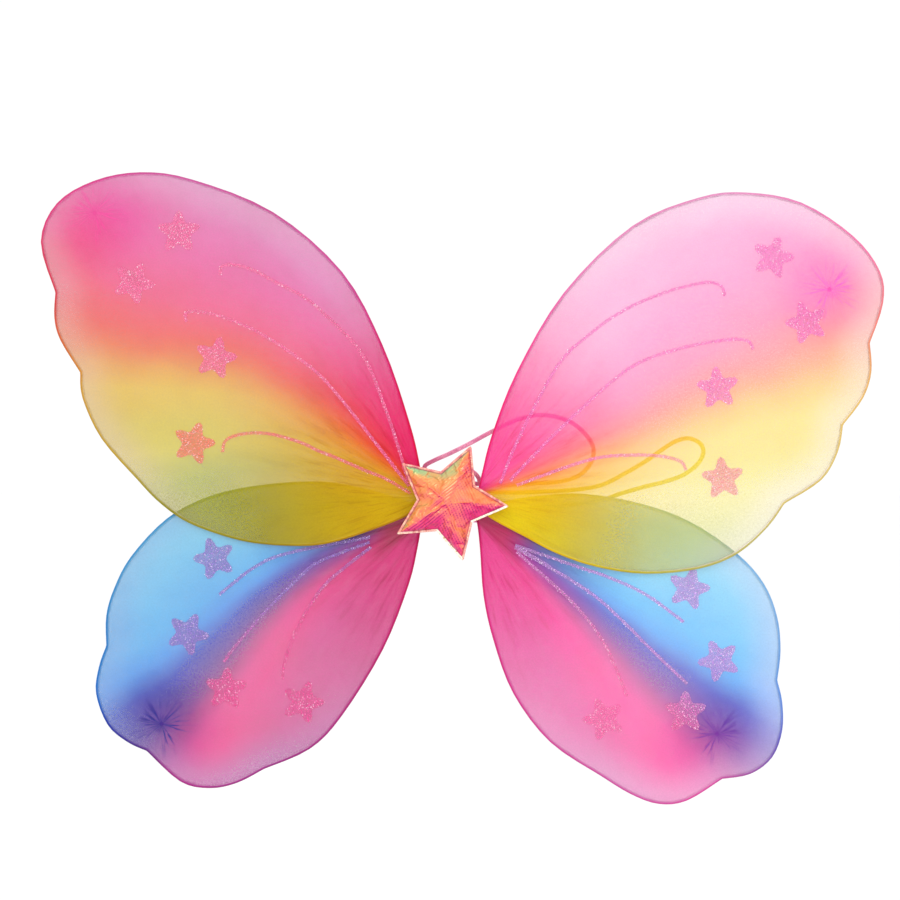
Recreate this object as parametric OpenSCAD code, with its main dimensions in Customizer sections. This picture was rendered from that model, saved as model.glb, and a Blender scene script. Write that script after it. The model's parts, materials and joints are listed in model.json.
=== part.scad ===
// Child's fairy wings: four wire hoops in stretched nylon, joined at a bound centre
// behind a padded star, with two elastic shoulder loops.
// X runs across the wings, +Y points to the wearer's back and +Z is up.
// The origin is the middle of the back patch, where the wings rest on the wearer.

/* [Hoops] */
// Diameter of the hoop wire
wire_d = 1.6; // [1.2:0.1:1.7]
// Thickness of one nylon layer
nylon_t = 0.2; // [0.15:0.05:0.3]
// How far the left side is turned up in its own plane, in degrees
left_lift = 6.3; // [0:0.1:7]

/* [Star] */
// Radius of the star at its tips, with the welded rim
star_r = 36; // [30:1:37]
// Radius of the star at its inner corners
star_in_r = 18.5; // [15:0.5:20]
// Direction of the star's first tip, in degrees from +X
star_turn = 68; // [60:1:75]
// Height of the padded front
star_puff = 9; // [6:0.5:12]

/* [Glitter] */
// Radius of a glitter star
glitter_r = 13; // [10:0.5:13]
// Width of a glitter line
vein_w = 1.8; // [1.2:0.1:2.2]

/* [Centre] */
// Distance from the middle to each fold axis
fold_x = 8; // [7.5:0.1:8.2]
// Diameter of an elastic shoulder loop
strap_d = 2.6; // [2:0.1:2.6]

/* [Hidden] */
$fn = 48;
// Depths (Y): the middle of each layer of the assembly
upper_y = -6.4;
lower_y = -3.2;
fold_y = -4.8;
// Half the thickness of a covered hoop
cover_half = wire_d / 2 + 0.25;
// Root pivots [x, z] on the right side
upper_pivot = [12.1, 2];
lower_pivot = [12.1, -8];
// The star's back face and centre
star_y = -12;
star_c = [-1, -1];
sheet_t = 0.6;
glitter_t = 0.2;
// Samples along one span of a smooth curve
span_steps = 4;

// Outlines as smooth runs [x, z] that meet at the scallop notches. Hoops are bent by hand,
// so each has its own. Left ones are written mirrored to the right, before the lift.
upper_right_runs = [
    [[13.5, 5], [16.5, 6], [19, 16], [25, 39], [40, 77], [68, 124], [109, 164], [149, 181],
     [177, 184], [210, 178], [241, 158], [257, 137], [259, 118], [251, 94]],
    [[251, 94], [252, 77], [247, 61], [235, 45]],
    [[235, 45], [232, 29], [222, 12], [200, -2]],
    [[200, -2], [190, -16], [172, -32], [149, -41], [117, -44], [88, -40], [64, -32],
     [43, -21], [23, -10], [16.5, -2], [13.5, -1]]
];
upper_left_runs = [
    [[13.5, 5], [16.5, 6], [20, 20], [29, 45], [50, 89], [79, 130], [124, 161], [174, 175],
     [205, 176], [232, 168], [253, 152], [260, 128], [248, 99]],
    [[248, 99], [247, 84], [242, 71], [228, 53]],
    [[228, 53], [225, 38], [211, 15], [187, -7]],
    [[187, -7], [174, -18], [157, -28], [136, -34], [114, -37], [88, -36], [68, -32],
     [43, -21], [23, -10], [16.5, -2], [13.5, -1]]
];
lower_right_runs = [
    [[13.5, -11], [16, -13], [18, -30], [20, -57], [26, -84], [38, -116], [60, -145], [90, -165]],
    [[90, -165], [108, -176], [125, -182], [142, -180], [163, -167]],
    [[163, -167], [180, -164], [193, -154], [199, -138], [199, -121], [196, -108]],
    [[196, -108], [198, -90], [196, -70], [188, -50], [172, -32], [144, -13], [114, -2], [78, 4],
     [48, 2], [27, -2], [17, -4.5], [13.5, -5]]
];
lower_left_runs = [
    [[13.5, -11], [16, -13], [17, -28], [20, -52], [31, -92], [51, -134], [68, -156], [94, -171]],
    [[94, -171], [109, -181], [125, -186], [143, -184], [165, -168]],
    [[165, -168], [177, -164], [190, -155], [199, -137], [199, -121], [196, -108]],
    [[196, -108], [198, -90], [195, -73], [187, -53], [168, -28], [144, -12], [114, -2], [78, 4],
     [48, 2], [27, -2], [17, -4.5], [13.5, -5]]
];

// Glitter lines from the hooked tip to the root, laid by hand on each wing. Left ones are
// written like the left outlines.
upper_right_veins = [
    [[164, 122], [162, 128], [152, 130], [128, 124], [103, 113], [82, 98], [64, 80], [41, 37], [30, 10]],
    [[181, 90], [178, 95], [167, 96], [143, 92], [117, 84], [98, 72], [64, 41], [36, 12]],
    [[141, 18], [138, 23], [128, 26], [114, 27], [92, 26], [73, 21], [40, 9]]
];
upper_left_veins = [
    [[151, 120], [151, 125], [144, 127], [131, 125], [119, 120], [99, 112], [83, 101], [68, 89], [57, 76],
     [47, 57], [36, 34], [26, 10]],
    [[168, 90], [169, 95], [163, 97], [150, 96], [134, 92], [119, 86], [105, 79], [88, 69], [74, 57],
     [55, 38], [25, 7]],
    [[138, 15], [137, 22], [128, 27], [112, 29], [93, 26], [81, 22], [70, 19], [54, 14], [40, 10], [24, 3]]
];
lower_right_veins = [
    [[140, -73], [118, -57], [97, -47], [71, -38], [39, -27]],
    [[142, -110], [122, -91], [104, -73], [82, -54], [40, -29]],
    [[106, -117], [101, -105], [93, -87], [82, -71], [68, -56], [40, -31]],
    [[60, -40], [50, -34], [39, -28]]
];
lower_left_veins = [
    [[132, -70], [124, -62], [116, -54], [105, -46], [94, -41], [76, -35], [46, -26]],
    [[125, -110], [118, -98], [102, -75], [85, -54], [75, -44], [46, -29]],
    [[89, -116], [89, -108], [85, -90], [78, -72], [68, -55], [45, -32]]
];

// Where the closed end of each sock is gathered, in its outline's plane
upper_right_toe = [227, 126];
upper_left_toe = [230, 149];
lower_right_toe = [160, -140];
lower_left_toe = [158, -151];

// Centres of the glitter stars [x, z], and the turn of each
upper_right_stars = [[193, 145, -16], [213, 106, 18], [160, 67, 6], [163, 13, 6]];
upper_left_stars = [[-162, 160, 0], [-189, 130, -25], [-140, 85, -14], [-153, 34, -16]];
lower_right_stars = [[143, -53, -15], [161, -96, 24], [141, -127, 0], [92, -131, 20]];
lower_left_stars = [[-141, -35, 18], [-157, -80, -25], [-134, -113, -4], [-88, -121, -18]];

// Routes of the elastic loops [x, y, z], from knot to knot
left_strap_route = [
    [-5, -3, 14], [-9, 0, 15], [-14, 4, 17], [-15, 5, 20.5], [-9, 5, 24], [0, 4.5, 28], [12, 4, 34],
    [25, 4, 41], [40, 4, 48], [55, 4, 51], [70, 4, 48], [80, 4, 41], [86, 4, 32], [85, 4, 23],
    [78, 4, 15], [66, 4, 11], [50, 4, 10], [35, 4, 9], [22, 4.2, 9], [12, 4.4, 10.5], [4, 4, 13.5],
    [-1, 1.5, 15.5], [-4, -2, 14.8]
];
right_strap_route = [
    [5.5, -3, 14], [9, 0, 16.5], [13.5, 0.6, 17], [17, 0.6, 13.5], [18.5, 0.6, 9], [24, 0.6, 5.5],
    [36, 0.6, 4.5], [54, 0.6, 5], [74, 0.6, 6], [91, 0.6, 9],
    [105, 0.6, 16], [117, 0.6, 23], [127, 0.6, 30], [135, 0.6, 35], [143, 0.6, 37], [150, 0.6, 34],
    [152, 0.6, 28], [148, 0.6, 21], [140, 0.6, 15], [129, 0.6, 11], [117, 0.6, 8], [103, 0.8, 4],
    [91, 0.8, 0], [71, 0.8, -3], [50, 0.8, -5], [30, 0.8, -5], [18, 0.8, -1], [9, 2.2, 5.5],
    [5.5, 1.8, 10], [5, -1.6, 12]
];

// --- Curves -------------------------------------------------------------------

// Point of a Catmull-Rom span from b to c at t in 0..1
function span_point(a, b, c, d, t) =
    0.5 * (2 * b + (c - a) * t + (2 * a - 5 * b + 4 * c - d) * t * t + (3 * b - a - 3 * c + d) * t * t * t);

// Smooth curve through points; it starts and ends at the first and last one
function smooth(points, steps) = let (n = len(points)) concat(
    [for (i = [0 : n - 2], s = [0 : steps - 1])
        span_point(points[max(i - 1, 0)], points[i], points[i + 1], points[min(i + 2, n - 1)], s / steps)],
    [points[n - 1]]);

// Smooth runs joined end to end, with each shared notch kept once
function joined(runs) = [for (i = [0 : len(runs) - 1])
    let (run = smooth(runs[i], span_steps), last = len(run) - (i < len(runs) - 1 ? 2 : 1))
    each [for (k = [0 : last]) run[k]]];

// The point p turned about c by an angle in the XZ plane
function turned(p, c, angle) =
    let (v = p - c)
    c + [v[0] * cos(angle) - v[1] * sin(angle), v[0] * sin(angle) + v[1] * cos(angle)];

// Right-side points placed on a side: 1 is right, -1 is left, mirrored and lifted
function on_side(points, side, pivot) = [for (p = points)
    let (q = side > 0 ? p : turned(p, pivot, left_lift))
    [side * q[0], q[1]]];

function unit(v) = v / norm(v);

// Direction of a flat path at point i
function heading(points, i) =
    unit(points[min(i + 1, len(points) - 1)] - points[max(i - 1, 0)]);

// Path moved sideways by d, to the left of its direction of travel
function shifted(points, d) = [for (i = [0 : len(points) - 1])
    let (h = heading(points, i)) points[i] + d * [-h[1], h[0]]];

// Corners of a five-pointed star
function star_points(r, r_in, turn, centre = [0, 0]) = [for (i = [0 : 9])
    let (radius = i % 2 == 0 ? r : r_in, a = turn + i * 36)
    centre + radius * [cos(a), sin(a)]];

// Outline of a star with soft tips and valleys. The three shares add up to 1 at a tip.
function soft_star_points(r, turn, centre) =
    let (disc = 0.745, points = 0.225, sharpness = 0.03)
    [for (a = [0 : 9 : 351])
        let (share = disc + points * cos(5 * a) + sharpness * cos(10 * a))
        centre + r * share * [cos(a + turn), sin(a + turn)]];

// --- Shared shapes ------------------------------------------------------------

// Flat plate with an outline in XZ, from depth y0 to y0 + t
module plate(points, y0, t) {
    translate([0, y0 + t, 0])
        rotate([90, 0, 0])
            linear_extrude(t)
                polygon(points);
}

// Round tube along an open path [x, y, z]
module tube(path, d, sides) {
    n = len(path);
    rings = [for (i = [0 : n - 1])
        let (t = unit(path[min(i + 1, n - 1)] - path[max(i - 1, 0)]),
             across = unit(cross(t, [0, 1, 0])),
             up = cross(across, t))
        each [for (k = [0 : sides - 1])
            path[i] + d / 2 * (cos(360 * k / sides) * across + sin(360 * k / sides) * up)]];
    walls = [for (i = [0 : n - 2], k = [0 : sides - 1])
        let (m = (k + 1) % sides)
        each [[i * sides + k, (i + 1) * sides + k, (i + 1) * sides + m],
              [i * sides + k, (i + 1) * sides + m, i * sides + m]]];
    caps = [[for (k = [0 : sides - 1]) k], [for (k = [sides - 1 : -1 : 0]) (n - 1) * sides + k]];
    polyhedron(rings, concat(walls, caps));
}

// Star-shaped cushion half that narrows towards -Y from the depth y
module puffed_star(r, y, height, top) {
    translate([star_c[0], y, star_c[1]])
        rotate([90, 0, 0])
            linear_extrude(height, scale = top)
                polygon(star_points(r, r * star_in_r / star_r, star_turn));
}

// --- One wing -------------------------------------------------------------------

// Hoop wire, bent to the scalloped outline and open at the root; inward is the side
// of the outline's direction of travel that it lies on, 1 for left and -1 for right
module wire_loop(runs, side, pivot, y, inward) {
    root_x = 17;
    inner = shifted(joined(runs), inward * cover_half);
    kept = [for (i = [0 : 2 : len(inner) - 1]) if (inner[i][0] > root_x) inner[i]];
    path = on_side(kept, side, pivot);
    color("silver")
        tube([for (p = path) [p[0], y, p[1]]], wire_d, 8);
}

// Twisted wire ends from the root pivot to the gathered nylon: a round end and a short neck
module wire_tail(side, pivot, y) {
    ball_r = 1.3;
    neck_r = 1.05;
    tail_l = 1.3;
    round_end = [for (a = [-90 : 18 : 36]) ball_r * [cos(a), sin(a)]];
    color("silver")
        translate([side * pivot[0], y, pivot[1]])
            rotate([0, side * 90, 0])
                rotate_extrude()
                    polygon(concat(round_end, [[neck_r, tail_l], [0, tail_l]]));
}

// One nylon layer over the whole hoop; facing is -1 for the front, 1 for the back
module nylon_layer(runs, side, pivot, y, facing, tint) {
    points = on_side(joined(runs), side, pivot);
    color(tint)
        plate(points, facing < 0 ? y - cover_half : y + cover_half - nylon_t, nylon_t);
}

// Thread band wound round the gathered root
module root_tie(side, pivot, y, z_low, z_high) {
    band_x = [14, 16];
    wall = 0.35;
    gap = 0.05;
    outer = on_side([[band_x[0], z_low - wall], [band_x[1], z_low - wall],
                     [band_x[1], z_high + wall], [band_x[0], z_high + wall]], side, pivot);
    inner = on_side([[band_x[0] - 2, z_low], [band_x[1] + 2, z_low],
                     [band_x[1] + 2, z_high], [band_x[0] - 2, z_high]], side, pivot);
    half = cover_half + gap;
    color("deeppink")
        difference() {
            plate(outer, y - half - wall, 2 * (half + wall));
            plate(inner, y - half, 2 * half);
        }
}

// Stitched knot that gathers the closed end of the nylon, on the back layer
module toe_knot(side, at, pivot, y, tint) {
    p = on_side([at], side, pivot)[0];
    knot_r = 2.2;
    knot_t = 0.9;
    color(tint)
        translate([p[0], y + cover_half + knot_t, p[1]])
            rotate([90, 0, 0])
                cylinder(h = knot_t, r = knot_r);
}

// Glitter stars and lines on the front layer
module glitter(veins, stars, side, pivot, y, tint) {
    front = y - cover_half - glitter_t;
    color(tint) {
        for (vein = veins) {
            line = on_side(smooth(vein, span_steps), side, pivot);
            left_edge = shifted(line, vein_w / 2);
            right_edge = shifted(line, -vein_w / 2);
            n = len(line);
            plate(concat(left_edge, [for (i = [n - 1 : -1 : 0]) right_edge[i]]), front, glitter_t);
        }
        for (s = stars)
            plate(soft_star_points(glitter_r, 90 + s[2], [s[0], s[1]]), front, glitter_t);
    }
}

// --- Centre ---------------------------------------------------------------------

// Bundle of wire ends and tape in the middle
module centre_core() {
    color("dimgray")
        translate([-2.5, fold_y - 2, -13.5])
            cube([5, 4, 30]);
}

// Ribbon wound round the bundle, with a hollow at each side for the stems
module centre_wrap() {
    half_w = 7;
    clearance = 0.3;
    color("mediumvioletred")
        difference() {
            translate([-half_w, fold_y - 2.8, -12])
                cube([2 * half_w, 5.6, 21.5]);
            translate([-2.6, fold_y - 2.1, -13])
                cube([5.2, 4.2, 24]);
            for (side = [-1, 1])
                translate([side * fold_x, fold_y, -13])
                    cylinder(h = 24, r = 2.4 + clearance);
        }
}

// Felt patch that rests on the wearer's back
module back_patch() {
    corner_r = 2;
    patch_t = 2;
    half_w = 6;
    low = -13;
    high = 8.5;
    color("hotpink")
        rotate([90, 0, 0])
            hull()
                for (x = [-half_w + corner_r, half_w - corner_r], z = [low + corner_r, high - corner_r])
                    translate([x, z, 0])
                        cylinder(h = patch_t, r = corner_r);
}

// Set glue that carries the star
module star_glue_pad() {
    top = star_y;
    base = fold_y - 2.8;
    color("ivory")
        translate([0, base, -1])
            rotate([90, 0, 0])
                cylinder(h = base - top, r = 6.5);
}

module star_back() {
    color("lightpink")
        plate(star_points(star_r, star_in_r, star_turn, star_c), star_y - sheet_t, sheet_t);
}

module star_front() {
    base = star_y - sheet_t;
    seam_in = 2;
    film_t = 0.6;
    color("salmon")
        difference() {
            puffed_star(star_r - seam_in, base, star_puff, 0.35);
            translate([0, 0.01, 0])
                puffed_star(star_r - seam_in - film_t, base, star_puff - film_t, 0.33);
        }
}

module star_filling() {
    gap = 0.1;
    inset = 3.2;
    film_room = 1.2;
    color("white")
        puffed_star(star_r - inset, star_y - sheet_t - gap, star_puff - film_room, 0.32);
}

// Welded and stitched rim round the star
module star_rim() {
    rim_t = 1;
    base = star_y - sheet_t;
    hole_r = star_r - 1.8;
    hole_in_r = hole_r * star_in_r / star_r;
    color("pink")
        difference() {
            plate(star_points(star_r, star_in_r, star_turn, star_c), base - rim_t, rim_t);
            plate(star_points(hole_r, hole_in_r, star_turn, star_c), base - rim_t - 1, rim_t + 2);
        }
}

// --- Elastic loops ----------------------------------------------------------------

module left_strap() {
    color("hotpink")
        tube(smooth(left_strap_route, 2), strap_d, 8);
}

module right_strap() {
    color("hotpink")
        tube(smooth(right_strap_route, 2), strap_d, 8);
}

module strap_knot(side) {
    knot_r = 2.7;
    color("deeppink")
        translate([side * 5.4, fold_y, 12.6])
            sphere(knot_r);
}

module left_strap_knot() {
    strap_knot(-1);
}

module right_strap_knot() {
    strap_knot(1);
}

// --- Stems ------------------------------------------------------------------------

// Three strands twisted together inside the stem
module stem_wires(side) {
    strand_r = 0.5;
    color("silver")
        translate([side * fold_x, fold_y, -12.5])
            linear_extrude(22.5, twist = 1080, slices = 60)
                for (a = [0, 120, 240])
                    rotate(a)
                        translate([strand_r, 0])
                            circle(strand_r + 0.05, $fn = 10);
}

// Ribbon sleeve round the strands; the side folds about its axis
module stem_wrap(side) {
    color("mediumvioletred")
        translate([side * fold_x, fold_y, -12])
            difference() {
                cylinder(h = 21.5, r = 2.4);
                translate([0, 0, -1])
                    cylinder(h = 24, r = 1.15);
            }
}

module left_stem_wires() {
    stem_wires(-1);
}

module left_stem_wrap() {
    stem_wrap(-1);
}

module right_stem_wires() {
    stem_wires(1);
}

module right_stem_wrap() {
    stem_wrap(1);
}

// --- Named parts of the four wings ---------------------------------------------------

module upper_left_wire_loop() { wire_loop(upper_left_runs, -1, upper_pivot, upper_y, -1); }
module upper_left_wire_tail() { wire_tail(-1, upper_pivot, upper_y); }
module upper_left_nylon_front() {
    nylon_layer(upper_left_runs, -1, upper_pivot, upper_y, -1, "violet");
}
module upper_left_nylon_back() { nylon_layer(upper_left_runs, -1, upper_pivot, upper_y, 1, "khaki"); }
module upper_left_root_tie() { root_tie(-1, upper_pivot, upper_y, -3, 7); }
module upper_left_toe_knot() { toe_knot(-1, upper_left_toe, upper_pivot, upper_y, "orchid"); }
module upper_left_glitter() {
    glitter(upper_left_veins, upper_left_stars, -1, upper_pivot, upper_y, "hotpink");
}

module upper_right_wire_loop() { wire_loop(upper_right_runs, 1, upper_pivot, upper_y, -1); }
module upper_right_wire_tail() { wire_tail(1, upper_pivot, upper_y); }
module upper_right_nylon_front() {
    nylon_layer(upper_right_runs, 1, upper_pivot, upper_y, -1, "violet");
}
module upper_right_nylon_back() { nylon_layer(upper_right_runs, 1, upper_pivot, upper_y, 1, "khaki"); }
module upper_right_root_tie() { root_tie(1, upper_pivot, upper_y, -3, 7); }
module upper_right_toe_knot() { toe_knot(1, upper_right_toe, upper_pivot, upper_y, "orchid"); }
module upper_right_glitter() {
    glitter(upper_right_veins, upper_right_stars, 1, upper_pivot, upper_y, "hotpink");
}

module lower_left_wire_loop() { wire_loop(lower_left_runs, -1, lower_pivot, lower_y, 1); }
module lower_left_wire_tail() { wire_tail(-1, lower_pivot, lower_y); }
module lower_left_nylon_front() {
    nylon_layer(lower_left_runs, -1, lower_pivot, lower_y, -1, "deepskyblue");
}
module lower_left_nylon_back() { nylon_layer(lower_left_runs, -1, lower_pivot, lower_y, 1, "plum"); }
module lower_left_root_tie() { root_tie(-1, lower_pivot, lower_y, -13.5, -3.5); }
module lower_left_toe_knot() { toe_knot(-1, lower_left_toe, lower_pivot, lower_y, "slateblue"); }
module lower_left_glitter() {
    glitter(lower_left_veins, lower_left_stars, -1, lower_pivot, lower_y, "orchid");
}

module lower_right_wire_loop() { wire_loop(lower_right_runs, 1, lower_pivot, lower_y, 1); }
module lower_right_wire_tail() { wire_tail(1, lower_pivot, lower_y); }
module lower_right_nylon_front() {
    nylon_layer(lower_right_runs, 1, lower_pivot, lower_y, -1, "deepskyblue");
}
module lower_right_nylon_back() { nylon_layer(lower_right_runs, 1, lower_pivot, lower_y, 1, "plum"); }
module lower_right_root_tie() { root_tie(1, lower_pivot, lower_y, -13.5, -3.5); }
module lower_right_toe_knot() { toe_knot(1, lower_right_toe, lower_pivot, lower_y, "slateblue"); }
module lower_right_glitter() {
    glitter(lower_right_veins, lower_right_stars, 1, lower_pivot, lower_y, "orchid");
}

centre_core();
centre_wrap();
back_patch();
star_glue_pad();
star_back();
star_front();
star_filling();
star_rim();
left_strap();
right_strap();
left_strap_knot();
right_strap_knot();
left_stem_wires();
left_stem_wrap();
right_stem_wires();
right_stem_wrap();
upper_left_wire_loop();
upper_left_wire_tail();
upper_left_nylon_front();
upper_left_nylon_back();
upper_left_root_tie();
upper_left_toe_knot();
upper_left_glitter();
upper_right_wire_loop();
upper_right_wire_tail();
upper_right_nylon_front();
upper_right_nylon_back();
upper_right_root_tie();
upper_right_toe_knot();
upper_right_glitter();
lower_left_wire_loop();
lower_left_wire_tail();
lower_left_nylon_front();
lower_left_nylon_back();
lower_left_root_tie();
lower_left_toe_knot();
lower_left_glitter();
lower_right_wire_loop();
lower_right_wire_tail();
lower_right_nylon_front();
lower_right_nylon_back();
lower_right_root_tie();
lower_right_toe_knot();
lower_right_glitter();
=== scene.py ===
import json
import math

import bmesh
import bpy
import numpy as np
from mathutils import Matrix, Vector
from mathutils.geometry import delaunay_2d_cdt


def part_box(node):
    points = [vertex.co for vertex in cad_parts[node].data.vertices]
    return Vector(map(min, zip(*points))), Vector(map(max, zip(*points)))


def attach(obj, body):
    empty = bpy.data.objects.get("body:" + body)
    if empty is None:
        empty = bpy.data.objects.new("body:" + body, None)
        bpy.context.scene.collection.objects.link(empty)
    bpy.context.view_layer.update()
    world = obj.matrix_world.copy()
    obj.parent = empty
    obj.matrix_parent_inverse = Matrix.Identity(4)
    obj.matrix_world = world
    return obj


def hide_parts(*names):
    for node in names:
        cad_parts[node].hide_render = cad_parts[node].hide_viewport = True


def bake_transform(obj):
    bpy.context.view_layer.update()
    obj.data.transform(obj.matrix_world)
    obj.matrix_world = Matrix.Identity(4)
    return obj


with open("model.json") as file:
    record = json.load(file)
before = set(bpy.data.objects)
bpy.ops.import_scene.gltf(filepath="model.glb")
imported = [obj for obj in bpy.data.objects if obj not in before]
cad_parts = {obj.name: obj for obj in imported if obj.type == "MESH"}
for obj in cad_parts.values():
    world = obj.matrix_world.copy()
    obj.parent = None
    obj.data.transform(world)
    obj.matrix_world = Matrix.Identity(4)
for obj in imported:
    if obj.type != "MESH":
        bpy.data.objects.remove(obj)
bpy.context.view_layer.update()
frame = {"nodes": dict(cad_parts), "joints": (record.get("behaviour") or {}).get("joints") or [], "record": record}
NODES = frame["nodes"]
JOINTS = {j["name"]: j for j in frame["joints"]}
MM = 0.001

# --- Camera ---

CAMERA_DISTANCE = 1.8
VIEW_WIDTH = 0.540
VIEW_CENTRE = (0.0, 0.030)

camera_data = bpy.data.cameras.new("camera")
camera_data.sensor_width = 36.0
camera_data.lens = 36.0 * CAMERA_DISTANCE / VIEW_WIDTH
camera_data.clip_end = 60.0
camera = bpy.data.objects.new("camera", camera_data)
camera.location = (VIEW_CENTRE[0], -CAMERA_DISTANCE, VIEW_CENTRE[1])
camera.rotation_euler = (math.radians(90), 0, 0)
bpy.context.scene.collection.objects.link(camera)
bpy.context.scene.camera = camera
bpy.context.scene.view_settings.view_transform = "Standard"

# --- Small helpers ---


def new_object(name, mesh, material):
    """Links a mesh as an object with one material, smooth shaded."""
    obj = bpy.data.objects.new(name, mesh)
    bpy.context.scene.collection.objects.link(obj)
    mesh.materials.append(material)
    mesh.shade_smooth()
    return obj


def mesh_from(name, points, faces):
    """A mesh from points and faces."""
    mesh = bpy.data.meshes.new(name)
    mesh.from_pydata([tuple(p) for p in points], [], faces)
    mesh.update()
    return mesh


def catmull(points, steps):
    """Smooth curve through points, the same as in the CAD source."""
    pts = [Vector(p) for p in points]
    curve = []
    for i in range(len(pts) - 1):
        a, b = pts[max(i - 1, 0)], pts[i]
        c, d = pts[i + 1], pts[min(i + 2, len(pts) - 1)]
        for s in range(steps):
            t = s / steps
            curve.append(0.5 * (2 * b + (c - a) * t + (2 * a - 5 * b + 4 * c - d) * t * t
                                + (3 * b - a - 3 * c + d) * t ** 3))
    curve.append(pts[-1])
    return curve


def path_length(points):
    """Length of an open path."""
    return sum((b - a).length for a, b in zip(points, points[1:]))


def smoothstep(low, high, x):
    """Smooth step of x from low to high."""
    t = np.clip((x - low) / (high - low), 0, 1)
    return t * t * (3 - 2 * t)


def store_vector(mesh, name, vectors):
    """Saves one vector per vertex for the shader."""
    layer = mesh.attributes.new(name, "FLOAT_VECTOR", "POINT")
    layer.data.foreach_set("vector", np.array(vectors, np.float32).ravel())


def store_number(mesh, name, numbers):
    """Saves one number per vertex for the shader."""
    layer = mesh.attributes.new(name, "FLOAT", "POINT")
    layer.data.foreach_set("value", np.array(numbers, np.float32))


def dress(obj, material):
    """Gives a CAD piece its one material."""
    obj.data.materials.clear()
    obj.data.materials.append(material)


def box_of(node):
    """A node's low corner, high corner and middle."""
    low, high = (np.array(c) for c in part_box(node))
    return low, high, (low + high) / 2


def signed_area(loop):
    """Area of a closed outline, positive when it runs anticlockwise."""
    x, z = loop[:, 0], loop[:, 1]
    return 0.5 * np.sum(x * np.roll(z, -1) - z * np.roll(x, -1))


def loop_ahead(loop):
    """Unit direction of travel at each point of a closed outline."""
    ahead = np.roll(loop, -1, 0) - np.roll(loop, 1, 0)
    return ahead / np.hypot(*ahead.T)[:, None]


def staggered_grid(low, high, step):
    """Points in staggered rows over a rectangle."""
    xs = np.arange(low[0], high[0], step)
    zs = np.arange(low[1], high[1], step * 0.866)
    return np.array([(x + (step / 2 if j % 2 else 0), z) for j, z in enumerate(zs) for x in xs])


def triangulated(edge, loose):
    """Points and triangles that fill a closed outline, using the loose points inside it."""
    n = len(edge)
    flat = [Vector(p) for p in np.vstack([edge, loose])]
    verts, _, tris, *_ = delaunay_2d_cdt(flat, [(i, (i + 1) % n) for i in range(n)], [], 1, 1e-7)
    return np.array([(v[0], v[1]) for v in verts]), tris


# --- Shader building ---


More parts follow.
